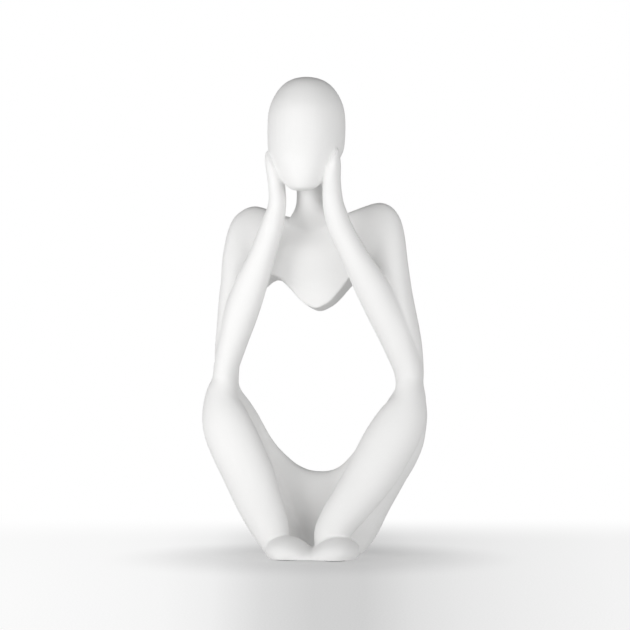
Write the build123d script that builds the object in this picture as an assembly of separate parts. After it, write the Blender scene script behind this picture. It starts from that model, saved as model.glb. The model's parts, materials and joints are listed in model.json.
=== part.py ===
from build123d import *
import math
import os

# Faceless seated figure with its elbows on its knees and its hands on its cheeks.
# Cast in stone-filled resin as five bodies that are pinned and bonded at the neck,
# the shoulders and the elbows, with four thin pads underneath.
# Millimetres. X is the picture's right, Y is backwards, Z is up, and the floor is z = 0.

# Whole figure
figure_height = 262.0
figure_width = 125.6
figure_depth = 86.0
shoulder_height_share = 0.9899
elbow_height_share = 0.5
shoulder_seam_out = 26.0

# Head and neck
head_height = 64.0
head_width = 42.4
head_depth_share = 0.5581
neck_width = 15.0
neck_depth_share = 0.186
neck_root_share = 0.2653
neck_top_share = 0.25
neck_seam_share = 0.0738
fingertip_share = 0.3516

# Arms
upper_arm_depth_share = 0.2326
forearm_depth_share = 0.2151
elbow_out_share = 0.9475
rim_fall_share = 0.08

# Legs and feet
hip_depth_share = 0.5698
shin_depth_share = 0.2674
foot_length_share = 0.3837
foot_lean = 1.6

# Steel dowels
neck_dowel_diameter = 4.0
neck_dowel_length = 26.0
shoulder_dowel_diameter = 5.0
shoulder_dowel_length = 20.0
elbow_dowel_diameter = 4.0
elbow_dowel_length = 24.0
glue_clearance = 0.1
dowel_chamfer = 0.4

# Pads
pad_thickness = 1.0
foot_pad_diameter = 12.0
seat_pad_diameter = 16.0
foot_pad_spread = 13.0
seat_pad_spread = 13.0

# Skins
oval_points = 16
rib_pitch = 7.0
head_pitch = 5.0
foot_pitch = 4.0
skin_tolerance = 0.05
overrun = 200.0

half_width = figure_width / 2
head_base = figure_height - head_height
shoulder_height = head_base * shoulder_height_share
elbow_height = shoulder_height * elbow_height_share
half_rise = shoulder_height - elbow_height
head_depth = figure_depth * head_depth_share
neck_depth = figure_depth * neck_depth_share
upper_arm_depth = figure_depth * upper_arm_depth_share
forearm_depth = figure_depth * forearm_depth_share
hip_depth = figure_depth * hip_depth_share
shin_depth = figure_depth * shin_depth_share
foot_length = figure_depth * foot_length_share
cheek_out = head_width / 2
elbow_out = half_width * elbow_out_share
fingertip_height = head_base + fingertip_share * head_height
neck_root_height = shoulder_height - neck_root_share * half_rise
neck_top_height = head_base + neck_top_share * head_height
neck_seam_height = head_base + neck_seam_share * head_height

# Head from chin to crown: width, height, y and depth
head_shares = [
    (0.0472, 0, -0.3663, 0.0417),
    (0.2123, 0.0187, -0.3547, 0.1875),
    (0.4245, 0.0781, -0.3314, 0.3958),
    (0.6486, 0.1641, -0.3023, 0.625),
    (0.8396, 0.2656, -0.2698, 0.8208),
    (0.9811, 0.3906, -0.2349, 0.9458),
    (1, 0.5625, -0.2209, 1),
    (0.9906, 0.6625, -0.2186, 0.9917),
    (0.9434, 0.7469, -0.214, 0.9375),
    (0.8608, 0.8219, -0.2093, 0.8542),
    (0.75, 0.8953, -0.207, 0.7396),
    (0.5896, 0.9531, -0.2047, 0.5833),
    (0.3302, 0.9906, -0.2035, 0.3229),
    (0.0472, 1, -0.2035, 0.0417),
]

# Neck from inside the head down into the chest: half width, height, y and depth
neck_shares = [
    (0.5, 1, -0.1628, 0.9688),
    (0.4733, 0.7045, -0.1279, 0.9688),
    (0.54, 0.5341, -0.0872, 1),
    (0.8667, 0.3864, -0.0349, 1),
    (1.2667, 0.25, 0.0209, 0.9062),
    (1.4667, 0, 0.0814, 0.6875),
]

# Upper arm, shoulder and chest from the right elbow to the breastbone, in shares:
# inner x and outer x of the half width, heights of the elbow to shoulder rise, y of the depth,
# depth of the upper arm depth
upper_shares = [
    (0.7182, -0.0816, 0.949, -0.0816, 0.0814, 0.725),
    (0.7118, 0, 0.9459, 0, 0.0756, 0.75),
    (0.6911, 0.1429, 0.9363, 0.1531, 0.0558, 0.9),
    (0.6369, 0.3163, 0.8997, 0.3367, 0.0291, 1),
    (0.5764, 0.4337, 0.8631, 0.5102, 0.0174, 1),
    (0.5239, 0.4898, 0.8264, 0.6735, 0.0233, 1.025),
    (0.4857, 0.498, 0.8041, 0.7959, 0.0291, 1.075),
    (0.4459, 0.4929, 0.7675, 0.898, 0.0349, 1.15),
    (0.4061, 0.4776, 0.6943, 0.9694, 0.0349, 1.15),
    (0.3503, 0.4388, 0.5812, 1, 0.0407, 1.15),
    (0.2627, 0.3724, 0.414, 0.9673, 0.0581, 1.15),
    (0.1433, 0.3061, 0.2229, 0.9214, 0.0814, 1.15),
    (0, 0.2755, 0, 0.9082, 0.0988, 1.15),
]

# Lower edge of the chest from the middle out to the armpit: x and height
opening_shares = [
    (0, 0.4041),
    (0.0764, 0.4214),
    (0.1354, 0.449),
    (0.1879, 0.4867),
    (0.2341, 0.5204),
    (0.2882, 0.5541),
    (0.3344, 0.5776),
    (0.3822, 0.5847),
    (0.4299, 0.5694),
    (0.4697, 0.5357),
    (0.5016, 0.5),
]

# Forearm and hand from the right elbow to the fingertips, in shares: inner x and outer x
# of the way from cheek to elbow, heights of the way from elbow to fingertip, y, depth
forearm_shares = [
    (0.6475, -0.0816, 1.0026, -0.0816, 0.0407, 0.7838),
    (0.624, 0, 1, 0, 0.0314, 0.8108),
    (0.5013, 0.1061, 0.9086, 0.1551, 0, 0.973),
    (0.2611, 0.2694, 0.7102, 0.3404, -0.064, 1),
    (0.1358, 0.3592, 0.5666, 0.4286, -0.1105, 0.9459),
    (-0.0836, 0.5404, 0.2454, 0.5926, -0.1977, 0.8108),
    (-0.235, 0.6775, 0.0601, 0.7102, -0.2558, 0.7027),
    (-0.2689, 0.7779, -0.0313, 0.7796, -0.2651, 0.7027),
    (-0.2298, 0.8637, -0.0444, 0.8571, -0.3081, 0.7838),
    (-0.1619, 0.9355, -0.0261, 0.9241, -0.3372, 0.6486),
    (-0.0862, 0.9796, -0.0104, 0.9714, -0.3488, 0.3243),
    (-0.0522, 0.9983, -0.0261, 0.9959, -0.3488, 0.1081),
]
# How far each rib of the right hand reaches further in than the left one's
right_reach_shares = [0, 0, 0, 0, 0, 0, 0.0283, 0.0566, 0.066, 0.0472, 0.0142, 0]

# Thigh and seat from the right elbow down to the middle of the seat, in shares:
# inner x, height, outer x, height, y and depth
thigh_shares = [
    (0.7134, 1.0612, 0.9395, 1.0612, 0.0814, 0.2959),
    (0.707, 1, 0.9459, 1, 0.0756, 0.3061),
    (0.6831, 0.9418, 0.9666, 0.9337, 0.0523, 0.4082),
    (0.6369, 0.8878, 0.9873, 0.8571, 0.0291, 0.5),
    (0.5621, 0.8112, 0.9968, 0.7857, 0.0291, 0.5714),
    (0.4777, 0.7306, 0.965, 0.6684, 0.0523, 0.6122),
    (0.3885, 0.6367, 0.8885, 0.551, 0.0814, 0.6735),
    (0.2866, 0.5643, 0.7611, 0.4031, 0.1395, 0.7551),
    (0.1943, 0.5102, 0.6131, 0.2449, 0.1744, 0.8571),
    (0.1083, 0.4816, 0.4586, 0.0765, 0.2035, 0.9388),
    (0.0478, 0.4745, 0.2389, -0.0459, 0.2151, 1),
    (0, 0.4735, 0, -0.051, 0.2151, 1),
]

# Shin from the elbow over the knee down into the foot, in the same order, but with y
# from the front of the lap in shares of the shin depth
shin_shares = [
    (0.7213, 1.0408, 0.9331, 1.0408, 0.413, 0.6304),
    (0.7182, 1, 0.9475, 1, 0.3783, 0.6522),
    (0.7102, 0.9235, 0.9873, 0.9133, 0.2826, 0.7609),
    (0.6194, 0.8398, 1, 0.7959, 0.1304, 0.913),
    (0.5016, 0.7194, 0.9682, 0.6837, 0.013, 1),
    (0.4029, 0.5969, 0.8726, 0.551, -0.0652, 1),
    (0.3264, 0.4949, 0.7691, 0.4286, -0.1, 0.9783),
    (0.2516, 0.3724, 0.6529, 0.3061, -0.1435, 0.913),
    (0.172, 0.2551, 0.5462, 0.2092, -0.1609, 0.8696),
    (0.1146, 0.148, 0.4538, 0.1429, -0.1435, 0.8261),
    (0.1194, 0.0306, 0.3264, 0.0306, -0.1304, 0.6957),
]

# How far each shin and ankle leans to the left of an even stance
left_sway_shares = [0, 0, 0, 0, 0, -0.0048, -0.008, -0.0255, -0.0478, -0.0748, -0.0748]
right_sway_shares = [0, 0, 0, 0, 0, -0.0048, -0.0127, -0.0478, -0.0748, -0.0796, -0.0748]

# Feet from the right side to the middle: x and height of the underside, x and height of the
# top, y from the front of the lap in shares of the foot length, and length
foot_shares = [
    (0.3917, 0.0153, 0.3917, 0.0561, -0.2545, 0.0909),
    (0.3694, -0.0041, 0.3694, 0.0969, -0.2727, 0.6061),
    (0.2962, -0.0408, 0.2962, 0.1286, -0.2939, 0.9091),
    (0.2006, -0.051, 0.2006, 0.1429, -0.303, 1),
    (0.0876, -0.051, 0.0876, 0.0878, -0.297, 0.9091),
    (0, -0.051, 0, 0.049, -0.2909, 0.8485),
]


def slope(before, here, after, run_before, run_after):
    """Slope at a rib that never overshoots the neighbouring ribs."""
    rise_before = (here - before) / run_before
    rise_after = (after - here) / run_after
    if rise_before * rise_after <= 0:
        return 0.0
    weight_before = 2 * run_after + run_before
    weight_after = run_after + 2 * run_before
    return (weight_before + weight_after) / (weight_before / rise_before + weight_after / rise_after)


def blend(ribs, pitch):
    """Ribs spread evenly, about one pitch apart, on a smooth path through the given ones."""
    last = len(ribs) - 1
    runs = []
    for one, two in zip(ribs, ribs[1:]):
        runs.append((math.dist(one[:2], two[:2]) + math.dist(one[2:4], two[2:4])) / 2)
    slopes = []
    for i, rib in enumerate(ribs):
        row = []
        for j, value in enumerate(rib):
            if i == 0:
                row.append((ribs[1][j] - value) / runs[0])
            elif i == last:
                row.append((value - ribs[i - 1][j]) / runs[i - 1])
            else:
                row.append(slope(ribs[i - 1][j], value, ribs[i + 1][j], runs[i - 1], runs[i]))
        slopes.append(row)
    steps = max(4, round(sum(runs) / pitch))
    spread = []
    for step in range(steps + 1):
        along = sum(runs) * step / steps
        i = 0
        while i < last - 1 and along > runs[i]:
            along -= runs[i]
            i += 1
        t = min(along / runs[i], 1.0)
        rib = []
        for start, end, leave, arrive in zip(ribs[i], ribs[i + 1], slopes[i], slopes[i + 1]):
            rib.append((2 * t ** 3 - 3 * t ** 2 + 1) * start + (t ** 3 - 2 * t ** 2 + t) * leave * runs[i]
                       + (3 * t ** 2 - 2 * t ** 3) * end + (t ** 3 - t ** 2) * arrive * runs[i])
        spread.append(rib)
    return spread


def oval(rib):
    """Points round an oval that reaches from a rib's inner end to its outer end, as deep as it says."""
    inner_x, inner_z, outer_x, outer_z, y, depth = rib
    points = []
    for step in range(oval_points + 1):
        turn = 2 * math.pi * (step % oval_points) / oval_points
        side = (1 + math.sin(turn)) / 2
        x = inner_x + (outer_x - inner_x) * side
        z = inner_z + (outer_z - inner_z) * side
        points.append(Vector(x, y + depth * math.cos(turn) / 2, z))
    return points


def limb(ribs, pitch=rib_pitch):
    """A closed solid whose smooth skin follows the ovals of the ribs, with flat ends."""
    grid = [oval(rib) for rib in blend(ribs, pitch)]
    skin = Face.make_surface_from_array_of_points(grid, tol=skin_tolerance, min_deg=3, max_deg=3)
    ends = [Face(Wire([edge])) for edge in skin.edges() if edge.is_closed]
    return Solid(Shell([skin] + ends))


def turned(ribs):
    """The same ribs on the other side of the body."""
    return [(-rib[0], rib[1], -rib[2]) + tuple(rib[3:]) for rib in ribs]


def across_body(half):
    """Ribs given from the right side to the middle, run on to the left side."""
    return half + turned(list(reversed(half[:-1])))


def leg_ribs(shares, start, reach, depth):
    """Ribs below the elbow from their shares: y runs from a start, in shares of a reach."""
    ribs = []
    for inner, inner_up, outer, outer_up, back, deep in shares:
        ribs.append((inner * half_width, inner_up * elbow_height, outer * half_width, outer_up * elbow_height,
                     start + back * reach, deep * depth))
    return ribs


def rod(diameter, length, centre, direction):
    """A dowel's outline, centred on a point and lying along a direction."""
    return Plane(origin=centre, z_dir=direction) * Cylinder(diameter / 2, length)


def dowel(diameter, length, centre, direction):
    """A steel dowel with broken edges."""
    bar = Cylinder(diameter / 2, length)
    bar = chamfer(bar.edges().filter_by(GeomType.CIRCLE), dowel_chamfer)
    return Plane(origin=centre, z_dir=direction) * bar


# Head
head_ribs = []
for wide, up, back, deep in head_shares:
    z = head_base + up * head_height
    aside = wide * head_width / 2
    head_ribs.append((-aside, z, aside, z, back * figure_depth, deep * head_depth))
head = limb(head_ribs, head_pitch)

# Neck, chest and shoulders
neck_ribs = []
for wide, up, back, deep in neck_shares:
    z = neck_root_height + up * (neck_top_height - neck_root_height)
    aside = wide * neck_width
    neck_ribs.append((-aside, z, aside, z, back * figure_depth, deep * neck_depth))
upper_ribs = []
for inner, inner_up, outer, outer_up, back, deep in upper_shares:
    upper_ribs.append((inner * half_width, elbow_height + inner_up * half_rise, outer * half_width,
                       elbow_height + outer_up * half_rise, back * figure_depth, deep * upper_arm_depth))
edge_points = [(aside * half_width, elbow_height + up * half_rise) for aside, up in opening_shares]
far_out, far_up = edge_points[-1]
left_points = [(-x, z) for x, z in reversed(edge_points[1:])]
edge_curve = Spline([(x, 0, z) for x, z in left_points + edge_points])
edge_corners = [(far_out, far_up), (far_out, elbow_height), (-far_out, elbow_height), (-far_out, far_up)]
edge_frame = Polyline([(x, 0, z) for x, z in edge_corners])
rim_line = Vector(0, 1, -rim_fall_share)
opening = extrude(make_face(edge_curve + edge_frame), figure_depth, dir=rim_line, both=True)
shoulders = limb(across_body(upper_ribs)) - opening
middle = Box(2 * shoulder_seam_out, overrun, 2 * overrun, align=(Align.CENTER, Align.CENTER, Align.MIN))
torso = (shoulders + limb(neck_ribs) - head) & middle

# Arms
below = (Align.CENTER, Align.CENTER, Align.MAX)
above = (Align.CENTER, Align.CENTER, Align.MIN)
below_elbow = Pos(0, 0, elbow_height) * Box(overrun, overrun, overrun, align=below)
above_elbow = Pos(0, 0, elbow_height) * Box(overrun, overrun, overrun, align=above)
forearm_ribs = []
for inner, inner_up, outer, outer_up, back, deep in forearm_shares:
    forearm_ribs.append((cheek_out + inner * (elbow_out - cheek_out),
                         elbow_height + inner_up * (fingertip_height - elbow_height),
                         cheek_out + outer * (elbow_out - cheek_out),
                         elbow_height + outer_up * (fingertip_height - elbow_height),
                         back * figure_depth, deep * forearm_depth))
right_ribs = []
for rib, reach in zip(forearm_ribs, right_reach_shares):
    right_ribs.append((rib[0] - reach * cheek_out,) + rib[1:])
arms = {}
for name, ribs, keep in (("left", turned(forearm_ribs), Align.MAX), ("right", right_ribs, Align.MIN)):
    side = -1 if keep == Align.MAX else 1
    outside = Box(overrun, overrun, 2 * overrun, align=(keep, Align.CENTER, Align.MIN))
    beside = Pos(side * shoulder_seam_out, 0, 0) * outside
    arms[name] = ((shoulders & beside) + limb(ribs)) - head - torso - below_elbow

# Legs
thigh_ribs = leg_ribs(thigh_shares, 0, figure_depth, hip_depth)
lap_front = thigh_ribs[-1][4] - thigh_ribs[-1][5] / 2
shin_ribs = leg_ribs(shin_shares, lap_front, shin_depth, shin_depth)
legs = limb(across_body(thigh_ribs))
for side, sway_shares in ((-1, left_sway_shares), (1, right_sway_shares)):
    ribs = []
    for (inner_x, inner_z, outer_x, outer_z, y, depth), sway in zip(shin_ribs, sway_shares):
        lean = sway * half_width
        ribs.append((side * inner_x + lean, inner_z, side * outer_x + lean, outer_z, y, depth))
    legs = legs + limb(ribs)
foot_ribs = leg_ribs(foot_shares, lap_front, foot_length, foot_length)
legs = legs + Pos(foot_lean, 0, 0) * limb(across_body(foot_ribs), foot_pitch)
under_feet = Pos(0, 0, pad_thickness) * Box(overrun, overrun, overrun, align=below)
legs = legs - under_feet - above_elbow

# Dowels and the holes that they are glued into
neck_top = Vector(0, neck_ribs[0][4], neck_ribs[0][1])
neck_foot = Vector(0, neck_ribs[2][4], neck_ribs[2][1])
neck_line = neck_top - neck_foot
neck_centre = neck_foot + neck_line * ((neck_seam_height - neck_foot.Z) / neck_line.Z)
shoulder_middle = upper_ribs[-4]
shoulder_centre = Vector(shoulder_seam_out, shoulder_middle[4], (shoulder_middle[1] + shoulder_middle[3]) / 2)
elbow_rib = upper_ribs[1]
elbow_middle_y = (elbow_rib[4] + forearm_ribs[1][4]) / 2
elbow_centre = Vector((elbow_rib[0] + elbow_rib[2]) / 2, elbow_middle_y, elbow_height)
upward = Vector(0, 0, 1)
sideways = Vector(1, 0, 0)


def flipped(point):
    return Vector(-point.X, point.Y, point.Z)


left_shoulder_centre = flipped(shoulder_centre)
pins = {
    "neck_dowel": (neck_dowel_diameter, neck_dowel_length, neck_centre, neck_line),
    "left_shoulder_dowel": (shoulder_dowel_diameter, shoulder_dowel_length, left_shoulder_centre, sideways),
    "right_shoulder_dowel": (shoulder_dowel_diameter, shoulder_dowel_length, shoulder_centre, sideways),
    "left_elbow_dowel": (elbow_dowel_diameter, elbow_dowel_length, flipped(elbow_centre), upward),
    "right_elbow_dowel": (elbow_dowel_diameter, elbow_dowel_length, elbow_centre, upward),
}
holes = {}
for name, (diameter, length, centre, direction) in pins.items():
    holes[name] = rod(diameter + 2 * glue_clearance, length + 2 * glue_clearance, centre, direction)
head = head - holes["neck_dowel"]
torso = torso - holes["neck_dowel"] - holes["left_shoulder_dowel"] - holes["right_shoulder_dowel"]
for name in arms:
    arms[name] = arms[name] - holes[name + "_shoulder_dowel"] - holes[name + "_elbow_dowel"]
    legs = legs - holes[name + "_elbow_dowel"]

# Pads
foot_middle = foot_ribs[3][4]
seat_middle = thigh_ribs[-1][4]
foot_pad = Cylinder(foot_pad_diameter / 2, pad_thickness, align=(Align.CENTER, Align.CENTER, Align.MIN))
seat_pad = Cylinder(seat_pad_diameter / 2, pad_thickness, align=(Align.CENTER, Align.CENTER, Align.MIN))

pieces = {"head": head, "torso": torso, "left_arm": arms["left"], "right_arm": arms["right"], "legs": legs}
for name, (diameter, length, centre, direction) in pins.items():
    pieces[name] = dowel(diameter, length, centre, direction)
for name, side in (("left", -1), ("right", 1)):
    pieces[name + "_foot_pad"] = Pos(foot_lean + side * foot_pad_spread, foot_middle, 0) * foot_pad
    pieces[name + "_seat_pad"] = Pos(side * seat_pad_spread, seat_middle, 0) * seat_pad

os.makedirs("parts", exist_ok=True)
for name, piece in pieces.items():
    export_step(piece, f"parts/{name}.step")
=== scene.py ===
# %% [markdown]
# A faceless figure in cast stone resin sits with its elbows on its knees and its hands on its cheeks.
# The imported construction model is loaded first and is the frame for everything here: each new piece
# lies where the construction says, in metres, with x to the right, y to the back and z up.
# %% The frame
import json
import math

import bmesh
import bpy
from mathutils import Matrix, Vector

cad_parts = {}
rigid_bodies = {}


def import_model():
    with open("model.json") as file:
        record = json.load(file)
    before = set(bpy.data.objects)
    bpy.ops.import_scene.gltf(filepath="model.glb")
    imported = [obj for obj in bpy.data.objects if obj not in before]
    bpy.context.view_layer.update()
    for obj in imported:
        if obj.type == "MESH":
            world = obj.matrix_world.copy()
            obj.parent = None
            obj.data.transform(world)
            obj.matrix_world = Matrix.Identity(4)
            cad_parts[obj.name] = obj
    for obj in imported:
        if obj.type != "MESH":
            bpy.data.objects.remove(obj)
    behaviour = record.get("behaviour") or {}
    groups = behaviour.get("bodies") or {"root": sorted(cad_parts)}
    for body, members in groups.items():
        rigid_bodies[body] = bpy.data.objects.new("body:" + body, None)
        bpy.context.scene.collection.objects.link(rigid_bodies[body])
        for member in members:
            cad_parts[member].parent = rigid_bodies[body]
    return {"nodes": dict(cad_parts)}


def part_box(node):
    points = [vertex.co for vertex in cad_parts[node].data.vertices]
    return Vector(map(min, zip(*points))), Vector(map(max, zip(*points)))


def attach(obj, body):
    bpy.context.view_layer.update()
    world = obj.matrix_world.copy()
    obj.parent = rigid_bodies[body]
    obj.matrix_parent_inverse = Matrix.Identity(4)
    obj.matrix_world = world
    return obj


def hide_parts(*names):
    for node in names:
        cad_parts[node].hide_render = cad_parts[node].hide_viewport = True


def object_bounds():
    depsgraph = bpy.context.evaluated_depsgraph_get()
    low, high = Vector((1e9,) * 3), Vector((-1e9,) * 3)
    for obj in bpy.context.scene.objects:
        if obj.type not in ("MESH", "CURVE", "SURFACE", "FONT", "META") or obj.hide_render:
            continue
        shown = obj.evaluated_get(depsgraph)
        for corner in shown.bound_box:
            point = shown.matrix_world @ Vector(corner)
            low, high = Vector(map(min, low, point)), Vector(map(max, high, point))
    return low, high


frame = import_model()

standard_height = 262
cad_low, cad_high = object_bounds()
mm = (cad_high[2] - cad_low[2]) / standard_height
print("nodes", sorted(frame["nodes"]), "one millimetre", round(mm, 6))

# %% [markdown]
# Every table below is in millimetres of the figure at its standard height of 262 mm, and mm scales
# it to the frame. Left and right are meant as seen from the front. The first thing to settle is the
# camera, because every later choice is judged through it: a long lens, low down, a little to the
# right of the middle, looking slightly up.
# %% Camera
lens_length = 88.97
camera_turn = math.radians(12)
camera_distance = 860 * mm
camera_height = 78 * mm
aim_height = 133.1 * mm
aim_side = 0.65 * mm

picture_right = Vector((math.cos(camera_turn), math.sin(camera_turn), 0))
toward_camera = Vector((math.sin(camera_turn), -math.cos(camera_turn), 0))
eye = toward_camera * camera_distance + picture_right * aim_side + Vector((0, 0, camera_height))
aim = picture_right * aim_side + Vector((0, 0, aim_height))
bpy.ops.object.camera_add(location=eye, rotation=(aim - eye).to_track_quat("-Z", "Y").to_euler())
camera = bpy.context.object
camera.name = "camera"
camera.data.lens = lens_length
camera.data.sensor_width = 36
camera.data.clip_start = 0.01
camera.data.clip_end = 20
bpy.context.scene.camera = camera
print("camera", [round(value, 4) for value in camera.location])

# %% [markdown]
# A material is a small network of nodes. Writing sums of masks as Python is easier to read than
# wiring Math nodes by hand, so one small class wraps a socket and turns + - * into those nodes.
# %% Wires between nodes
class Wire:
    """One output socket of a material's nodes, which can be added, subtracted and multiplied."""

    def __init__(self, tree, socket=None):
        self.tree = tree
        self.socket = socket

    def node(self, kind, settings, inputs, output=0):
        """Adds a node with its settings and the values or wires of its sockets, and returns an output."""
        made = self.tree.nodes.new(kind)
        for name, value in settings.items():
            setattr(made, name, value)
        for name, value in inputs.items():
            if isinstance(value, Wire):
                self.tree.links.new(value.socket, made.inputs[name])
            else:
                made.inputs[name].default_value = value
        return Wire(self.tree, made.outputs[output])

    def join(self, socket):
        """Leads the wire into a shader's socket."""
        self.tree.links.new(self.socket, socket)

    def sum(self, operation, first, second):
        return self.node("ShaderNodeMath", {"operation": operation}, {0: first, 1: second})

    def __add__(self, other):
        return self.sum("ADD", self, other)

    def __radd__(self, other):
        return self.sum("ADD", other, self)

    def __sub__(self, other):
        return self.sum("SUBTRACT", self, other)

    def __rsub__(self, other):
        return self.sum("SUBTRACT", other, self)

    def __mul__(self, other):
        return self.sum("MULTIPLY", self, other)

    def __rmul__(self, other):
        return self.sum("MULTIPLY", other, self)


print("wires ready")

# %% [markdown]
# Every material here begins in the same way and uses the same three tools: a noise for what varies
# over the surface, a blend of two colours, and small bumps. As functions they are written only once,
# and each material is left with its own measures. The noises lie on the object's own places, in
# metres, so they stay on the piece when it is moved.
# %% Tools for materials
def new_material(name):
    """A plain material, its shader, a wire to start from, and a wire with the object's own places."""
    material = bpy.data.materials.new(name)
    material.use_nodes = True
    shader = material.node_tree.nodes["Principled BSDF"]
    start = Wire(material.node_tree)
    return material, shader, start, start.node("ShaderNodeTexCoord", {}, {}, "Object")


def noise(place, size, **more):
    """A noise whose lumps are about one size wide."""
    return place.node("ShaderNodeTexNoise", {}, {"Vector": place, "Scale": 1 / size, **more})


def blend(share, low_colour, high_colour):
    """A colour between two others."""
    return share.node("ShaderNodeMix", {"data_type": "RGBA"}, {0: share, 6: low_colour, 7: high_colour}, 2)


def bumps(height, strength, depth):
    """Small bumps for a shader's Normal socket."""
    return height.node("ShaderNodeBump", {}, {"Height": height, "Strength": strength, "Distance": depth})


print("material tools ready")

# %% [markdown]
# The figure is cast in a mix of resin and fine stone powder and left bare. Close up it is matt and
# sandy: tiny grains stand out of the skin, some lighter, some darker, under a very faint mottling
# from the pour. Three noises at three sizes give that: grains in the bump and the colour, a finer
# one for the sparkle of the roughness, and a broad one for the mottling.
# %% Cast stone resin
resin_colour = (0.86, 0.858, 0.853, 1)
resin_shade = (0.80, 0.797, 0.79, 1)
resin_gloss = 0.3
grain_size = 0.55 * mm
grain_depth = 0.12 * mm
grain_strength = 0.22
grain_share = 0.6
speck_size = 0.28 * mm
speck_height = 0.4
cloud_size = 22 * mm
lowest_roughness = 0.78
sparkle = 0.14

resin, shader, start, place = new_material("cast_stone_resin")
grain = noise(place, grain_size, Detail=3.0, Roughness=0.6)
speck = noise(place, speck_size, Detail=1.0)
cloud = noise(place, cloud_size, Detail=2.0)
mottling = grain * grain_share + cloud * (1 - grain_share)
blend(mottling, resin_shade, resin_colour).join(shader.inputs["Base Color"])
(lowest_roughness + speck * sparkle).join(shader.inputs["Roughness"])
bumps(grain + speck * speck_height, grain_strength, grain_depth).join(shader.inputs["Normal"])
shader.inputs["Specular IOR Level"].default_value = resin_gloss
print("material", resin.name)

# %% [markdown]
# The limbs flow into each other, so they are first made one by one as tubes. A rib is an oval that
# reaches from the limb's inner edge to its outer edge in the front view and is as deep as it says.
# Few ribs are given, and more are spread smoothly between them, on a path that never overshoots.
# A spline would do it too, but it bulges between ribs that stand close together.
# %% Smooth paths
rib_pitch = 1.6 * mm
fine_pitch = 1.2 * mm
fewest_steps = 4


def slope(before, here, after, run_before, run_after):
    """Slope at a rib that never overshoots the neighbouring ribs."""
    rise_before = (here - before) / run_before
    rise_after = (after - here) / run_after
    if rise_before * rise_after <= 0:
        return 0.0
    weight_before = 2 * run_after + run_before
    weight_after = run_after + 2 * run_before
    return (weight_before + weight_after) / (weight_before / rise_before + weight_after / rise_after)


def between(one, two, leave, arrive, run, t):
    """A value on the smooth path from one rib to the next, at a share t of the way."""
    leaving = (2 * t ** 3 - 3 * t ** 2 + 1) * one + (t ** 3 - 2 * t ** 2 + t) * leave * run
    arriving = (3 * t ** 2 - 2 * t ** 3) * two + (t ** 3 - t ** 2) * arrive * run
    return leaving + arriving


def spread(ribs, pitch):
    """Ribs at even steps of about one pitch on a smooth path through the given ones."""
    last = len(ribs) - 1
    runs = []
    for one, two in zip(ribs, ribs[1:]):
        runs.append((math.dist(one[:2], two[:2]) + math.dist(one[2:4], two[2:4])) / 2)
    slopes = [[(after - here) / runs[0] for here, after in zip(ribs[0], ribs[1])]]
    for i in range(1, last):
        row = zip(ribs[i - 1], ribs[i], ribs[i + 1])
        slopes.append([slope(before, here, after, runs[i - 1], runs[i]) for before, here, after in row])
    slopes.append([(here - before) / runs[-1] for before, here in zip(ribs[-2], ribs[-1])])
    steps = max(fewest_steps, round(sum(runs) / pitch))
    result = []
    for step in range(steps + 1):
        along = sum(runs) * step / steps
        i = 0
        while i < last - 1 and along > runs[i]:
            along -= runs[i]
            i += 1
        t = min(along / runs[i], 1.0)
        row = zip(ribs[i], ribs[i + 1], slopes[i], slopes[i + 1])
        result.append([between(one, two, leave, arrive, runs[i], t) for one, two, leave, arrive in row])
    return result


print("path helpers ready, pitch", round(rib_pitch, 5))

# %% [markdown]
# A table of given ribs has small kinks, so the ribs are first evened against their neighbours. Each one
# then becomes an oval: a circle that is turned into the rib's line and squeezed to its depth.
# %% Ovals
rib_sides = 40
evening_passes = 5


def evened(ribs, passes):
    """Draws each rib towards its neighbours, which rounds off the kinks of a given table."""
    for _ in range(passes):
        inner = []
        for before, here, after in zip(ribs, ribs[1:], ribs[2:]):
            inner.append([(a + 2 * b + c) / 4 for a, b, c in zip(before, here, after)])
        ribs = [ribs[0], *inner, ribs[-1]]
    return ribs


def only(piece):
    """Selects one object and nothing else, and makes it active."""
    bpy.ops.object.select_all(action="DESELECT")
    piece.select_set(True)
    bpy.context.view_layer.objects.active = piece


def add_rib(rib):
    """Adds one oval: a circle as wide as the rib is long, turned into its line, and squeezed to its depth."""
    inner_x, inner_z, outer_x, outer_z, y, depth = rib
    length = math.dist((inner_x, inner_z), (outer_x, outer_z))
    turn = math.atan2(outer_z - inner_z, outer_x - inner_x)
    middle = ((inner_x + outer_x) / 2, y, (inner_z + outer_z) / 2)
    bpy.ops.mesh.primitive_circle_add(vertices=rib_sides, radius=length / 2, location=middle,
                                      rotation=(0, -turn, 0))
    bpy.ops.transform.resize(value=(1, depth / length, 1), center_override=middle)


print("oval helpers ready,", rib_sides, "sides")

# %% [markdown]
# Each oval is bridged to the last one, and both ends are closed with a face. That keeps the ovals'
# given sizes, which a subdivided cage would shrink.
# %% Tubes from ovals
def pick(mesh, first, last):
    """Selects the vertices of the ribs from first to the one before last, and nothing else."""
    bpy.ops.mesh.select_all(action="DESELECT")
    mesh.verts.ensure_lookup_table()
    for vert in mesh.verts[first * rib_sides:last * rib_sides]:
        vert.select = True
    mesh.select_flush(True)


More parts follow.
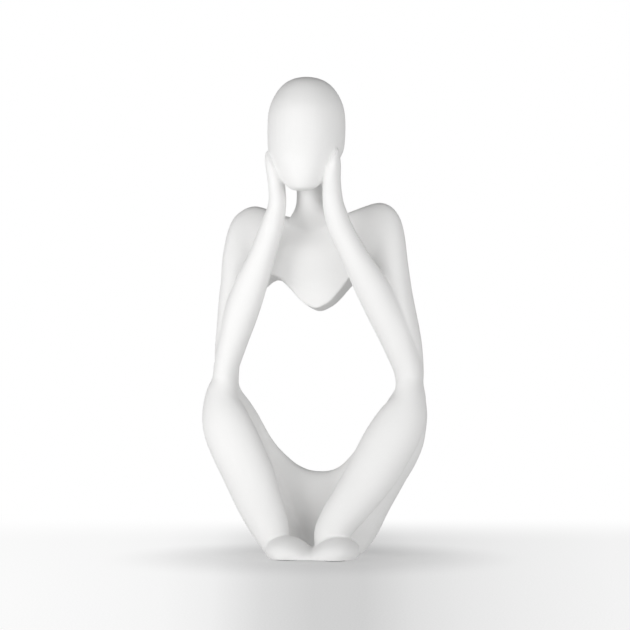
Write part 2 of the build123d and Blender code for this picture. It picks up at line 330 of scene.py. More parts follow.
def tube(name, table, pitch=rib_pitch):
    """A closed tube through a table of ribs in millimetres."""
    ribs = evened(spread([[value * mm for value in row] for row in table], pitch), evening_passes)
    bpy.ops.object.select_all(action="DESELECT")
    bpy.ops.mesh.primitive_circle_add(vertices=rib_sides, radius=mm)
    piece = bpy.context.object
    piece.name = name
    bpy.ops.object.mode_set(mode="EDIT")
    bpy.ops.mesh.delete(type="VERT")
    for rib in ribs:
        add_rib(rib)
    mesh = bmesh.from_edit_mesh(piece.data)
    for lower in range(len(ribs) - 1):
        pick(mesh, lower, lower + 2)
        bpy.ops.mesh.bridge_edge_loops()
    for end in (0, len(ribs) - 1):
        pick(mesh, end, end + 1)
        bpy.ops.mesh.edge_face_add()
    bpy.ops.mesh.select_all(action="SELECT")
    bpy.ops.mesh.normals_make_consistent(inside=False)
    bpy.ops.object.mode_set(mode="OBJECT")
    return piece


print("tube helpers ready, passes", evening_passes)

# %% [markdown]
# Left and right limbs share one table. A Mirror modifier would do that too, but here both sides
# differ a little, so the rows themselves are turned over, carried on across the body, or leaned.
# %% Left, right and across
def turned(table):
    """The same ribs on the other side of the body."""
    result = []
    for inner_x, inner_z, outer_x, outer_z, y, depth in table:
        result.append((-inner_x, inner_z, -outer_x, outer_z, y, depth))
    return result


def across(table):
    """Ribs given from one side to the middle, carried on to the other side."""
    return table + turned(list(reversed(table[:-1])))


def leaned(table, leans):
    """Ribs moved sideways, each by its own lean."""
    moved = []
    for (inner_x, inner_z, outer_x, outer_z, y, depth), lean in zip(table, leans):
        moved.append((inner_x + lean, inner_z, outer_x + lean, outer_z, y, depth))
    return moved


def widened(table, reaches):
    """Ribs whose inner edge alone is moved sideways, each by its own reach."""
    return [(rib[0] + reach, *rib[1:]) for rib, reach in zip(table, reaches)]


print("side helpers ready")

# %% [markdown]
# The head is an egg without a face: a narrow chin, full cheeks and a round crown. One upright tube
# of level ovals makes it, because each width can then be read off and set; a squeezed sphere would
# be too even. Each row is width, y, height and depth.
# %% Head
head_ribs = [
    (2, -31.2, 198, 2),
    (9, -30.8, 198.35, 8),
    (15.5, -29.8, 199.8, 14),
    (20.5, -28.8, 203, 20),
    (28, -26.4, 208.5, 29.6),
    (35.6, -23.3, 215, 39.4),
    (41.6, -20.3, 223, 45.4),
    (42.4, -19, 234, 48),
    (42, -18.8, 240.4, 47.6),
    (40.2, -18.4, 245.8, 45),
    (36.4, -18, 250.6, 41),
    (30.6, -17.8, 255.3, 35),
    (23, -17.6, 259, 26.5),
    (11.5, -17.5, 261.4, 13.5),
    (2, -17.5, 262, 2),
]
level_ribs = [(-wide / 2, up, wide / 2, up, y, deep) for wide, y, up, deep in head_ribs]
head_tube = tube("head_form", level_ribs, fine_pitch)
print("head", [round(value, 4) for value in head_tube.dimensions])

# %% [markdown]
# The neck leans forward into the head and spreads into the chest. It is a tube of level ovals too,
# so that it can run on inside both. Each row is half width, height, y and depth.
# %% Neck
neck_ribs = [
    (7.5, 214, -14, 15.5),
    (7.1, 201, -11, 15.5),
    (8.1, 193.5, -7.5, 16),
    (13, 187, -3, 16),
    (19, 181, 1.8, 14.5),
    (22, 170, 7, 11),
]
level_ribs = [(-out, up, out, up, y, deep) for out, up, y, deep in neck_ribs]
neck_tube = tube("neck_form", level_ribs, fine_pitch)
print("neck", [round(value, 4) for value in neck_tube.dimensions])

# %% [markdown]
# One band runs from elbow to elbow: up the upper arm, round the shoulder, and down again into the
# chest, where it is tallest. As one tube it has no seam at the shoulders. The rows go from the right
# elbow to the breastbone: inner x, inner height, outer x, outer height, y and depth, and the other
# half mirrors them.
# %% Upper arms, shoulders and chest
upper_ribs = [
    (45.1, 90, 59.6, 90, 7, 14.5),
    (44.7, 98, 59.4, 98, 6.5, 15),
    (43.4, 112, 58.8, 113, 4.8, 18),
    (40, 129, 56.5, 131, 2.5, 20),
    (36.2, 140.5, 54.2, 148, 2, 20),
    (32.9, 146, 51.9, 164, 2.8, 20.5),
    (30.5, 146.8, 50.4, 176, 4.5, 21.5),
    (28, 146.3, 48, 186, 6, 23),
    (25.5, 144.8, 43.4, 193, 7, 23),
    (22, 141, 36.5, 196, 7, 23),
    (16.5, 134.5, 26, 192.8, 7.5, 23),
    (9, 128, 14, 188.3, 8, 23),
    (0, 125, 0, 187, 8.5, 23),
]
yoke_tube = tube("shoulder_form", across(upper_ribs))
print("shoulders", [round(value, 4) for value in yoke_tube.dimensions])

# %% [markdown]
# The chest leans forward into the neck, and its front is drawn back near the lower edge, which is
# thin on the real figure. A tube can't lean by height, so its points are moved afterwards. Both
# changes fade out towards the shoulders.
# %% Leaning chest
chest_lean = 0.12
lean_from = 140 * mm
chest_top = upper_ribs[-1][3] * mm
chest_sides = (12 * mm, 38 * mm)
chest_back = 20 * mm
thinning = 0.25
thin_heights = (145 * mm, 172 * mm)


def ease(value, start, end):
    """Runs smoothly from 0 at one value to 1 at another."""
    share = min(max((value - start) / (end - start), 0), 1)
    return share * share * (3 - 2 * share)


for vert in yoke_tube.data.vertices:
    beside = 1 - ease(abs(vert.co.x), *chest_sides)
    vert.co.y -= chest_lean * max(vert.co.z - lean_from, 0) * beside
    low_front = beside * (1 - ease(vert.co.z, *thin_heights))
    vert.co.y += (chest_back - vert.co.y) * thinning * low_front
print("chest leans", round(chest_lean * (chest_top - lean_from) / mm, 1), "mm at its top")

# %% [markdown]
# The figure isn't even, as a hand-made master never is: both lower arms sit a little to the right on
# their outer side, and the left shoulder is fuller. The limbs overlap at the elbows, so one function
# moves all of them in the same way, and the skin stays closed there. A band holds a change between
# four marks: it starts at the first, is full from the second to the third, and ends at the fourth.
# %% Uneven sides
low_arm_marks = (93, 101, 122, 150)
low_arm_shift = 1.1 * mm
low_arm_side = (44 * mm, 54 * mm)
shoulder_marks = (150, 168, 189, 197)
shoulder_fill = 1.4 * mm
shoulder_side = (36 * mm, 47 * mm)


def band(value, marks):
    """Rises smoothly from 0 to 1 and falls back, between four marks in millimetres."""
    start, full, fade, end = (mark * mm for mark in marks)
    return ease(value, start, full) * (1 - ease(value, fade, end))


def shift_outer_sides(piece):
    """Moves the outer sides of both lower arms to the right and fills out the left shoulder."""
    for vert in piece.data.vertices:
        low_arm = band(vert.co.z, low_arm_marks)
        high_arm = band(vert.co.z, shoulder_marks)
        vert.co.x += low_arm_shift * low_arm * ease(abs(vert.co.x), *low_arm_side)
        vert.co.x -= shoulder_fill * high_arm * ease(-vert.co.x, *shoulder_side)


shift_outer_sides(yoke_tube)
print("shoulders shifted", [round(value, 4) for value in yoke_tube.dimensions])

# %% [markdown]
# The chest ends in a free edge that hangs in a point between the forearms and rises to both armpits,
# a little more slowly on the right side. It is given as points of the front view, and the same
# smooth path that spreads ribs also spreads them, so the edge has no corners.
# %% Outline of the chest rim
rim_points = [
    (0, 137.6),
    (4.8, 139.3),
    (8.5, 142),
    (11.8, 145.7),
    (14.7, 149),
    (18.1, 152.3),
    (21, 154.6),
    (24, 155.3),
    (27, 153.8),
    (29.5, 150.5),
    (31.5, 147),
]
rim_step = 0.4 * mm
right_rim_reaches = [0, 0.3, 0.8, 1.3, 1.5, 1.2, 0.6, 0, 0, 0, 0]
right_points = [(x + reach, up) for (x, up), reach in zip(rim_points, right_rim_reaches)]
both_sides = [(-x, up) for x, up in reversed(rim_points[1:])] + right_points
edge_line = spread([(x * mm, up * mm, x * mm, up * mm, 0, 0) for x, up in both_sides], rim_step)


def rim_height(x):
    """Height of the rim's front edge at an x."""
    for one, two in zip(edge_line, edge_line[1:]):
        if one[0] <= x <= two[0]:
            return one[1] + (two[1] - one[1]) * (x - one[0]) / (two[0] - one[0])
    return edge_line[-1][1]


print("rim from", round(rim_height(0), 4), "up to", round(max(point[1] for point in edge_line), 4))

# %% [markdown]
# The edge itself is a clean cut, like the rim of a bowl, that falls a little towards the back. A
# grid of one row is pulled into the outline, given thickness by an extrusion, and cut away with a
# Boolean, which leaves the crisp edge that smoothing would lose.
# %% Cutting the chest rim
rim_fall = 0.08
rim_columns = 120
rim_reach = 40 * mm
rim_bottom = 100 * mm
rim_width = 2 * rim_points[-1][0] * mm

bpy.ops.object.select_all(action="DESELECT")
bpy.ops.mesh.primitive_grid_add(x_subdivisions=rim_columns, y_subdivisions=1, size=rim_width,
                                rotation=(math.pi / 2, 0, 0))
rim_cutter = bpy.context.object
rim_cutter.name = "rim_cutter"
bpy.ops.object.transform_apply(location=True, rotation=True, scale=True)
for vert in rim_cutter.data.vertices:
    vert.co.z = rim_height(vert.co.x) if vert.co.z > 0 else rim_bottom
bpy.ops.object.mode_set(mode="EDIT")
bpy.ops.mesh.select_all(action="SELECT")
bpy.ops.transform.translate(value=(0, -rim_reach, rim_reach * rim_fall))
through = (0, 2 * rim_reach, -2 * rim_reach * rim_fall)
bpy.ops.mesh.extrude_region_move(TRANSFORM_OT_translate={"value": through})
bpy.ops.mesh.select_all(action="SELECT")
bpy.ops.mesh.normals_make_consistent(inside=False)
bpy.ops.object.mode_set(mode="OBJECT")


def cut(piece, tool, operation="DIFFERENCE"):
    """Applies a Boolean of one closed mesh with another."""
    only(piece)
    boolean = piece.modifiers.new("cut", "BOOLEAN")
    boolean.operation = operation
    boolean.solver = "MANIFOLD"
    boolean.object = tool
    bpy.ops.object.modifier_apply(modifier=boolean.name)


cut(yoke_tube, rim_cutter)
print("rim cut, faces", len(yoke_tube.data.polygons))

# %% [markdown]
# A forearm leaves the elbow, crosses in front of the upper arm and ends as a flat hand on the cheek.
# Fingers aren't shown on the real figure, so the tube only flattens and ends in a blunt tip. The
# right hand is a little wider on its inner side and sits a little further out, as in the photo.
# %% Forearms and hands
forearm_ribs = [
    (46, 88, 59.6, 88, 3.5, 14.5),
    (45.1, 98, 59.5, 98, 2.7, 15),
    (40.4, 111, 56, 117, 0, 18),
    (31.2, 131, 48.4, 139.7, -5.5, 18.5),
    (26.4, 142, 42.9, 150.5, -9.5, 17.5),
    (18, 164.2, 30.6, 170.6, -17, 15),
    (12.2, 181, 23.5, 185, -22, 13),
    (10.5, 193.3, 20, 193.5, -22.8, 13),
    (10.6, 203.8, 19.5, 203, -26.5, 14.5),
    (13.4, 212.6, 20.2, 211.2, -29, 12),
    (17.2, 218, 20.8, 217, -30, 6),
    (19.2, 220.3, 20.2, 220, -30, 2),
]
right_hand_reaches = [0, 0, 0, 0, 0, 0, -0.6, -0.8, 0.4, 0.6, 0.4, 0]
hand_marks = (181, 190, 209, 218)
hand_shift = 0.8 * mm
hand_side = (14 * mm, 19 * mm)

forearm_tubes = {"left": tube("left_forearm_form", turned(forearm_ribs)),
                 "right": tube("right_forearm_form", widened(forearm_ribs, right_hand_reaches))}
for piece in forearm_tubes.values():
    shift_outer_sides(piece)
for vert in forearm_tubes["right"].data.vertices:
    vert.co.x += hand_shift * band(vert.co.z, hand_marks) * ease(vert.co.x, *hand_side)
print("forearms", [round(value, 4) for value in forearm_tubes["left"].dimensions])

# %% [markdown]
# The thighs and the seat are one deep band that hangs from knee to knee like a hammock, so one tube
# makes them, from the right elbow to the middle and on to the left elbow. The right knee is a bit
# wider open.
# %% Thighs and seat
thigh_ribs = [
    (46.6, 104, 59, 104, 6, 14),
    (46, 98, 59.4, 98, 5.5, 14.5),
    (43.8, 92.3, 60.7, 91.5, 4.5, 19),
    (40, 87, 62, 84, 2.5, 24.5),
    (35.3, 79.5, 62.6, 77, 2.5, 28),
    (30, 71.6, 60.6, 65.5, 4.5, 30),
    (24.4, 62.4, 55.8, 54, 7, 33),
    (18, 55.3, 47.8, 39.5, 12, 37),
    (12.2, 50, 38.5, 24, 15, 42),
    (6.8, 47.2, 29.3, 7, 17.5, 46),
    (3, 46.5, 16, -4.5, 18.5, 49),
    (0, 46.4, 0, -5, 18.5, 49),
]
right_knee_reaches = [0, 0.3, 0.8, 0.4, -0.4, -0.6, -0.6, -0.3, 0, 0, 0, 0]
left_half_ribs = turned(list(reversed(thigh_ribs[:-1])))
thigh_tube = tube("thigh_form", widened(thigh_ribs, right_knee_reaches) + left_half_ribs)
print("thighs", [round(value, 4) for value in thigh_tube.dimensions])

# %% [markdown]
# Between the shins the front of this band is hollow, which gives the deep shade in the lap. The
# hollow is an upright wedge that widens with height, pressed in from the front up to the ridge of
# the lap. The same pass moves the left thigh and the right one to their places in the photo, and
# lifts the front of the seat a little off the floor.
# %% Hollow lap
hollow_share = 0.62
hollow_width = 4 * mm
hollow_spread = 0.38
hollow_edge = 9 * mm
ridge_y = thigh_ribs[-1][4] * mm
left_thigh_marks = (42, 56, 68, 82)
left_thigh_sides = (2, 14, 42, 52)
left_thigh_shift = 1.3 * mm
right_thigh_marks = (40, 52, 56, 72)
right_thigh_side = (36 * mm, 50 * mm)
right_thigh_shift = 0.9 * mm
seat_rise = 0.13
seat_middle = 20 * mm
seat_heights = (4 * mm, 20 * mm)

for vert in thigh_tube.data.vertices:
    if vert.co.y < ridge_y:
        gap = hollow_width + hollow_spread * vert.co.z
        between_shins = 1 - ease(abs(vert.co.x), gap, gap + hollow_edge)
        vert.co.y += (ridge_y - vert.co.y) * hollow_share * between_shins
    left_thigh = band(vert.co.z, left_thigh_marks) * band(-vert.co.x, left_thigh_sides)
    vert.co.x -= left_thigh_shift * left_thigh
    right_thigh = band(vert.co.z, right_thigh_marks) * ease(vert.co.x, *right_thigh_side)
    vert.co.x += right_thigh_shift * right_thigh
    vert.co.z += seat_rise * max(seat_middle - vert.co.y, 0) * (1 - ease(vert.co.z, *seat_heights))
shift_outer_sides(thigh_tube)
print("thighs hollowed", [round(value, 4) for value in thigh_tube.dimensions])

# %% [markdown]
# The shins run down and inwards to the feet, in front of the thighs. Two tubes that overlap the band
# behind them leave a true crease along their inner edge. They aren't quite alike: each leans by its
# own amounts.
# %% Shins
shin_ribs = [
    (45.3, 102, 58.6, 102, 3.5, 14.5),
    (45.1, 98, 59.5, 98, 2.7, 15),
    (44.6, 90.5, 62, 89.5, 0.5, 17.5),
    (38.9, 82.3, 62.8, 78, -3, 21),
    (31.5, 70.5, 60.8, 67, -5.7, 23),
    (25.3, 58.5, 54.8, 54, -7.5, 23),
    (20.5, 48.5, 48.3, 42, -8.3, 22.5),
    (15.8, 36.5, 41, 30, -9.3, 21),
    (10.8, 25, 34.3, 20.5, -9.7, 20),
    (7.2, 14.5, 28.5, 14, -9.3, 19),
    (7.5, 3, 20.5, 3, -9, 16),
]
left_leans = [0, 0, 0, 0, 0, -0.3, -0.5, -1.6, -3, -4.7, -4.7]
right_leans = [0, 0, 0, 0, 0, -0.3, -0.8, -3, -4.7, -5, -4.7]
right_shin_reaches = [0, 0.3, 0.8, -0.4, -0.9, -0.6, -0.2, 0, 0, 0, 0]
shin_tubes = [tube("left_shin_form", leaned(turned(shin_ribs), left_leans)),
              tube("right_shin_form", leaned(widened(shin_ribs, right_shin_reaches), right_leans))]
for piece in shin_tubes:
    shift_outer_sides(piece)
print("shins", [round(value, 4) for value in shin_tubes[0].dimensions])

# %% [markdown]
# Both feet are one low form with two rounded tops and a valley between them, a little right of the
# middle. Two boxes with rounded edges would look like bricks, so the ribs stand upright side by side
# here: x, underside, top, y and length.
# %% Feet
foot_ribs = [
    (25.5, 3.2, 6, -15, 3),
    (24.6, 1.9, 8.5, -15.3, 15),
    (21.5, -0.9, 11, -15.8, 25),
    (17.5, -4, 12.4, -16, 31),
    (13.8, -5, 12.9, -16, 33),
    (9.5, -5, 12.2, -16, 32),
    (5.5, -5, 10, -15.9, 30),
    (2.5, -5, 7.6, -15.7, 28.5),
    (0, -5, 6.4, -15.6, 28),
]
foot_lean = 2.6
foot_pitch = 0.9 * mm
foot_table = across([(out, under, out, over, y, long) for out, under, over, y, long in foot_ribs])
feet_tube = tube("feet_form", leaned(foot_table, [foot_lean] * len(foot_table)), foot_pitch)
print("feet", [round(value, 4) for value in feet_tube.dimensions])

# %% [markdown]
# A casting is one skin, without the inner walls that overlapping tubes have. The forms are joined
# and remeshed on a fine grid, which fuses them and keeps the creases where they meet; a Boolean
# union would leave long thin faces there. The underside is then cut flat, one pad's thickness above
# the floor.
# %% One skin
skin_grid = 0.66 * mm
pad_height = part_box("left_foot_pad")[1][2]


def duplicate(piece):
    """A copy of an object with a mesh of its own."""
    copied = piece.copy()
    copied.data = piece.data.copy()
    bpy.context.collection.objects.link(copied)
    return copied


bpy.ops.object.select_all(action="DESELECT")
for piece in (head_tube, neck_tube, yoke_tube, *forearm_tubes.values(), thigh_tube, *shin_tubes, feet_tube):
    copied = duplicate(piece)
    copied.select_set(True)
    bpy.context.view_layer.objects.active = copied
bpy.ops.object.join()
skin = bpy.context.object
skin.name = "skin"
remesh = skin.modifiers.new("grid", "REMESH")
remesh.mode = "VOXEL"
remesh.voxel_size = skin_grid
bpy.ops.object.modifier_apply(modifier=remesh.name)
print("skin faces", len(skin.data.polygons))

only(skin)
bpy.ops.object.mode_set(mode="EDIT")
bpy.ops.mesh.select_all(action="SELECT")
bpy.ops.mesh.bisect(plane_co=(0, 0, pad_height), plane_no=(0, 0, 1), use_fill=True, clear_inner=True)
bpy.ops.object.mode_set(mode="OBJECT")
print("skin cut flat at", round(pad_height, 5))

# %% [markdown]
# A caster's master is sanded, so most joints between the forms are soft: the neck runs into the
# shoulders, the elbow into the knee, the shin into the seat. Only the hands on the cheeks, the chin
# and the long line between forearm and upper arm stay crisp. A Smooth modifier is held to a vertex
# group, and the group is filled by how near each point is to a soft joint.
# %% Softened joints
soft_places = [
    # x, y, z, reach
    (52, 5, 97, 24),
    (-52, 5, 97, 24),
    (43, -2, 78, 20),
    (-43, -2, 78, 20),
    (-36, 0, 68, 20),
    (34, 0, 66, 18),
    (0, -4, 186, 15),
    (0, 0, 172, 16),
    (15, 0, 181, 14),
    (-15, 0, 181, 14),
    (4, -7, 179, 14),
    (17, -5, 179, 14),
    (-12, -5, 179, 12),
]
light_weight = 0.12
sanding_passes = 60
sanding_factor = 0.5


def soft_weight(point):
    """How much a point is smoothed: a little everywhere, more near a soft joint."""
    weight = light_weight
    for x, y, z, reach in soft_places:
        distance = (point - Vector((x, y, z)) * mm).length / (reach * mm)
        if distance < 1:
            fall = 1 - distance * distance
            weight = max(weight, fall * fall)
    return weight


soft_group = skin.vertex_groups.new(name="soft")
for vert in skin.data.vertices:
    soft_group.add([vert.index], soft_weight(vert.co), "REPLACE")
only(skin)
sanding = skin.modifiers.new("sanding", "SMOOTH")
sanding.factor = sanding_factor
sanding.iterations = sanding_passes
sanding.vertex_group = soft_group.name
bpy.ops.object.modifier_apply(modifier=sanding.name)
print("skin softened at", len(soft_places), "places")

# %% [markdown]
# The real figure is bonded from five castings, so the skin is cut at the same seams: the head along
# its own surface, the arms beside the chest and at the elbows. The cutters are boxes and slightly
# swollen copies of the first forms, so each seam follows the form that it bounds.
# %% Cutters for the seams
seam_room = 0.3 * mm
shoulder_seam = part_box("right_shoulder_dowel")
seam_out = (shoulder_seam[0][0] + shoulder_seam[1][0]) / 2
elbow_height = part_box("left_arm")[0][2]
chin_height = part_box("head")[0][2]
collar_height = 197 * mm
neck_side = 9.3 * mm
wide = 300 * mm


def swollen(piece):
    """A copy of a form that stands a little proud of it all round, to cut with."""
    copied = duplicate(piece)
    only(copied)
    bpy.ops.object.mode_set(mode="EDIT")
    bpy.ops.mesh.select_all(action="SELECT")
    bpy.ops.transform.shrink_fatten(value=seam_room)
    bpy.ops.object.mode_set(mode="OBJECT")
    return copied


def block(low, high):
    """A closed box from corner to corner."""
    middle = [(one + two) / 2 for one, two in zip(low, high)]
    size = [two - one for one, two in zip(low, high)]
    bpy.ops.object.select_all(action="DESELECT")
    bpy.ops.mesh.primitive_cube_add(size=1, location=middle, scale=size)
    bpy.ops.object.transform_apply(location=True, rotation=True, scale=True)
    return bpy.context.object


head_cutter = swollen(head_tube)
cut(head_cutter, block((-wide, -wide, chin_height), (wide, wide, wide)), "INTERSECT")
legs_cutter = block((-wide, -wide, -wide), (wide, wide, elbow_height))
chest_cutter = block((-seam_out, -wide, elbow_height), (seam_out, wide, wide))
for tool in forearm_tubes.values():
    cut(chest_cutter, swollen(tool))
for side in (-1, 1):
    inner, outer = sorted((side * neck_side, side * wide))
    cut(chest_cutter, block((inner, -wide, collar_height), (outer, wide, 2 * wide)))
left_half = block((-wide, -wide, -wide), (0, wide, wide))
print("seams at", round(seam_out, 4), round(elbow_height, 4), round(chin_height, 4))

# %% [markdown]
# Each casting is a copy of the skin after one or two Booleans. The cutters are closed, and so is each
# piece that they leave, so that it could be lifted off. Both sides of a seam share the one skin,
# which five separately modelled pieces would not.
# %% The five castings
def part_of(piece, tool, operation, name):
    """A named copy of a closed mesh after a Boolean with another."""
    copied = duplicate(piece)
    copied.name = name
    cut(copied, tool, operation)
    return copied


figure_head = part_of(skin, head_cutter, "INTERSECT", "figure_head")
below_head = part_of(skin, head_cutter, "DIFFERENCE", "below_head")
figure_legs = part_of(below_head, legs_cutter, "INTERSECT", "figure_legs")
upper = part_of(below_head, legs_cutter, "DIFFERENCE", "upper")
figure_chest = part_of(upper, chest_cutter, "INTERSECT", "figure_chest")
both_arms = part_of(upper, chest_cutter, "DIFFERENCE", "both_arms")
figure_left_arm = part_of(both_arms, left_half, "INTERSECT", "figure_left_arm")
figure_right_arm = part_of(both_arms, left_half, "DIFFERENCE", "figure_right_arm")
castings = {"head": figure_head, "torso": figure_chest, "left_arm": figure_left_arm,
            "right_arm": figure_right_arm, "legs": figure_legs}

kept = set(castings.values())
for made in list(bpy.context.scene.objects):
    if made.type == "MESH" and made not in kept and made.name not in frame["nodes"]:
        bpy.data.objects.remove(made)
print("castings", [piece.name for piece in castings.values()])

# %% [markdown]
# Each casting takes the place of one node of the construction. Smooth shading is held back at edges
# sharper than the crease angle, so the chest rim and the seams stay crisp.
# %% Dressing the castings
crease_angle = math.radians(40)
for node, piece in castings.items():
    only(piece)
    piece.vertex_groups.clear()
    bpy.ops.object.shade_smooth_by_angle(angle=crease_angle)
    piece.data.materials.clear()
    piece.data.materials.append(resin)
    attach(piece, "root")
    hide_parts(node)
    print(piece.name, "faces", len(piece.data.polygons), [round(value, 4) for value in piece.dimensions])

# %% [markdown]
# The dowels inside are cut from ground steel bar, and the pads are punched from grey felt. Their
# shapes are right in the construction, so they keep their nodes and only get a finish. The fine
# marks of grinding are a noise squeezed in one direction, which is cheaper than a picture of them.
# %% Ground steel
steel_dark = (0.42, 0.42, 0.43, 1)
steel_light = (0.62, 0.62, 0.62, 1)
scratch_size = 2 * mm
scratch_squeeze = (1, 1, 30)
scratch_depth = 0.03 * mm
scratch_strength = 0.1
scratch_roughness = 0.2
steel_roughness = 0.24

steel, shader, start, place = new_material("ground_steel")
scratch_place = start.node("ShaderNodeMapping", {}, {"Vector": place, "Scale": scratch_squeeze})
scratch = noise(scratch_place, scratch_size, Detail=4.0)
blend(scratch, steel_dark, steel_light).join(shader.inputs["Base Color"])
(steel_roughness + scratch * scratch_roughness).join(shader.inputs["Roughness"])
bumps(scratch, scratch_strength, scratch_depth).join(shader.inputs["Normal"])
shader.inputs["Metallic"].default_value = 1.0
print("material", steel.name)

# %% [markdown]
# Felt is a tangle of fibres. Hair particles would show each fibre, but the pads are thin and hidden
# underneath, so a twisted noise in colour and bump is enough, with a little sheen for the fluff.
# %% Grey felt
felt_dark = (0.10, 0.10, 0.105, 1)
felt_light = (0.32, 0.32, 0.325, 1)
fibre_size = 0.5 * mm
fibre_depth = 0.15 * mm
fibre_strength = 0.5
felt_roughness = 0.95
fluff = 0.3

felt, shader, start, place = new_material("grey_felt")
tangle = noise(place, fibre_size, Detail=5.0, Distortion=2.0)
blend(tangle, felt_dark, felt_light).join(shader.inputs["Base Color"])
bumps(tangle, fibre_strength, fibre_depth).join(shader.inputs["Normal"])
shader.inputs["Roughness"].default_value = felt_roughness
shader.inputs["Sheen Weight"].default_value = fluff

for name, node in frame["nodes"].items():
    if "dowel" in name or "pad" in name:
        node.data.materials.clear()
        node.data.materials.append(steel if "dowel" in name else felt)
print("finishes on dowels and pads")

# %% [markdown]
# The figure stands on a pale floor that fades to white behind it. In the photo a broad, soft wedge
# of shade lies in front of the figure. A lamp behind the figure would cast it, but would also light
# the figure's edges, so the floor's paint carries the wedge: a ramp over the angle around a point
# that is fixed on the floor, well in front of the figure. The wedge fades out before that point.
# %% Floor and its wedge of shade
floor_size = 6
wedge_turn = math.radians(12)
wedge_tip = 900 * mm
wedge_scale = 2.64
wedge_middle = 0.5
shade_stops = [(0.02, 0.965), (0.18, 0.945), (0.26, 0.93), (0.34, 0.875), (0.42, 0.72), (0.50, 0.645),
               (0.58, 0.64), (0.66, 0.755), (0.74, 0.815), (0.82, 0.855), (0.98, 0.91)]

bpy.ops.object.select_all(action="DESELECT")
bpy.ops.mesh.primitive_plane_add(size=floor_size)
floor = bpy.context.object
floor.name = "floor"
floor_paint, shader, start, place = new_material("floor_paint")


def along(place, direction):
    """How far a place lies in a fixed direction."""
    return place.node("ShaderNodeVectorMath", {"operation": "DOT_PRODUCT"}, {0: place, 1: direction}, "Value")


forward = along(place, Vector((math.sin(wedge_turn), -math.cos(wedge_turn), 0)))
sideways = along(place, Vector((math.cos(wedge_turn), math.sin(wedge_turn), 0)))
angle = start.sum("DIVIDE", sideways, wedge_tip - forward)
ramp = floor_paint.node_tree.nodes.new("ShaderNodeValToRGB")
while len(ramp.color_ramp.elements) < len(shade_stops):
    ramp.color_ramp.elements.new(wedge_middle)
for stop, (position, grey) in zip(ramp.color_ramp.elements, shade_stops):
    stop.position = position
    stop.color = (grey, grey, grey, 1)
(angle * wedge_scale + wedge_middle).join(ramp.inputs[0])
shade = Wire(floor_paint.node_tree, ramp.outputs[0])
print("floor", floor_size, "m, wedge of", len(shade_stops), "stops")

# %% [markdown]
# Near the figure more of the paint is lit as usual and takes the shadows of the feet. Far from it
# the paint glows at its own tone, so that no edge of the floor shows. It glows a little for other
# rays too, as a bright floor sends light up under the chin and the chest.
# %% Floor paint
back_start, back_end = -0.10, -0.33
front_start, front_end = 0.31, 0.60
near_figure, off_figure = 0.03, 0.12
near_glow, more_glow = 0.6, 0.38
bounce_share = 0.5
sand_size = 0.9 * mm
sand_strength = 0.12
floor_grey = (0.8, 0.8, 0.8, 1)
floor_roughness = 0.9
floor_gloss = 0.1


def smooth_step(value, start_value, end_value):
    """Runs smoothly from 0 to 1 between two values, as a node."""
    return value.node("ShaderNodeMapRange", {"interpolation_type": "SMOOTHSTEP"},
                      {"Value": value, "From Min": start_value, "From Max": end_value})


back_fade = smooth_step(forward, back_start, back_end)
front_fade = smooth_step(forward, front_start, front_end)
sand = noise(place, sand_size, Detail=2.0)
tone = shade + (1 - shade) * (back_fade + front_fade) + (sand - 0.5) * sand_strength
glow = start.node("ShaderNodeEmission", {}, {"Color": tone, "Strength": 1.0})
distance = start.node("ShaderNodeVectorMath", {"operation": "LENGTH"}, {0: place}, "Value")
away = smooth_step(distance, near_figure, off_figure)
glow_share = (near_glow + away * more_glow) * (1 - back_fade) + back_fade
seen = start.node("ShaderNodeLightPath", {}, {}, "Is Camera Ray")
share = bounce_share + (glow_share - bounce_share) * seen
lit = Wire(floor_paint.node_tree, shader.outputs[0])
shader.inputs["Base Color"].default_value = floor_grey
shader.inputs["Roughness"].default_value = floor_roughness
shader.inputs["Specular IOR Level"].default_value = floor_gloss
paint = start.node("ShaderNodeMixShader", {}, {0: share, 1: lit, 2: glow})
paint.join(floor_paint.node_tree.nodes["Material Output"].inputs["Surface"])
floor.data.materials.append(floor_paint)
print("material", floor_paint.name)

# %% [markdown]
# The light is that of a white tent: bright all round at eye level and more so in front, and dim from
# above, so that the crown of the head and the tops of the shoulders are greyer than the face. A
# world with one plain strength would light them evenly. The background is seen as plain white.
# %% White tent
level_fill = 0.7
top_fill = 0.04
top_height = 0.66
front_share = 0.45
front_turn = math.radians(12)

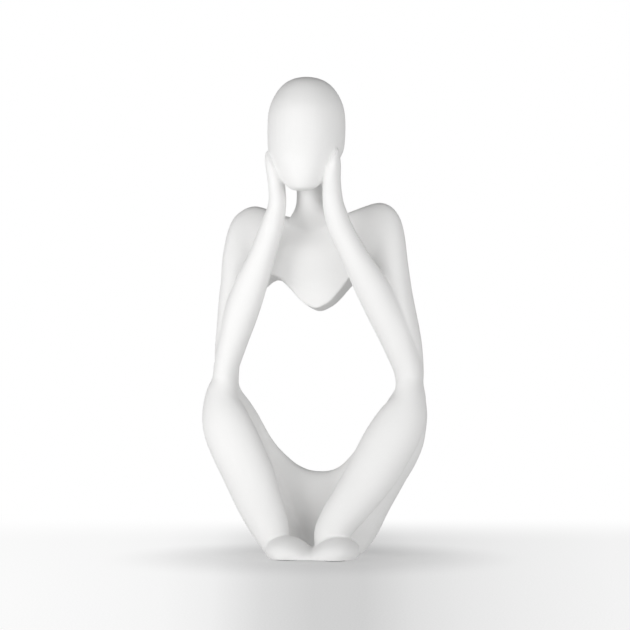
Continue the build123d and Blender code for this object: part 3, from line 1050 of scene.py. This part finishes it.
world = bpy.data.worlds.new("studio")
bpy.context.scene.world = world
world.use_nodes = True
air = Wire(world.node_tree)
heading = air.node("ShaderNodeTexCoord", {}, {}, "Generated")
height_share = air.node("ShaderNodeSeparateXYZ", {}, {"Vector": heading}, "Z")
fill = air.node("ShaderNodeMapRange", {}, {"Value": height_share, "From Min": 0.0, "From Max": top_height,
                                          "To Min": level_fill, "To Max": top_fill})
facing = along(heading, Vector((math.sin(front_turn), -math.cos(front_turn), 0)))
fill = fill * (1 + facing * front_share)
seen = air.node("ShaderNodeLightPath", {}, {}, "Is Camera Ray")
background = world.node_tree.nodes["Background"]
background.inputs["Color"].default_value = (1, 1, 1, 1)
(fill + (1 - fill) * seen).join(background.inputs["Strength"])
print("tent from", level_fill, "down to", top_fill)

# %% [markdown]
# Two large panels left and right of the front light both flanks and leave the lap between the shins
# in shade. Two small ones low in front lift the feet and the shins. One lamp in front would be
# simpler, but it would flatten the lap.
# %% Panels
body_middle = (0, 0, 130 * mm)
toes = (0, -0.02, 0.02)
panels = [
    # name, place, aim, side in metres, watts
    ("key_panel", (-0.8, -1.0, 0.2), body_middle, 0.8, 5.8),
    ("side_panel", (0.9, -0.85, 0.25), body_middle, 0.8, 5.9),
    ("low_panel", (0, -0.42, 0.26), toes, 0.25, 0.12),
    ("foot_panel", (-0.17, -0.24, 0.15), toes, 0.1, 0.17),
]


def add_panel(name, place, aim, size, power):
    """A square soft panel that faces a point."""
    data = bpy.data.lights.new(name, "AREA")
    data.shape = "SQUARE"
    data.size = size
    data.energy = power
    lamp = bpy.data.objects.new(name, data)
    bpy.context.collection.objects.link(lamp)
    lamp.location = place
    lamp.rotation_euler = (Vector(aim) - Vector(place)).to_track_quat("-Z", "Y").to_euler()
    return lamp


lamps = [add_panel(*row) for row in panels]
bpy.context.scene.view_settings.view_transform = "Standard"
print("panels", [(lamp.name, round(lamp.data.energy, 2)) for lamp in lamps])

bpy.context.view_layer.update()
print("cad", [round(value, 5) for value in (*cad_low, *cad_high)])
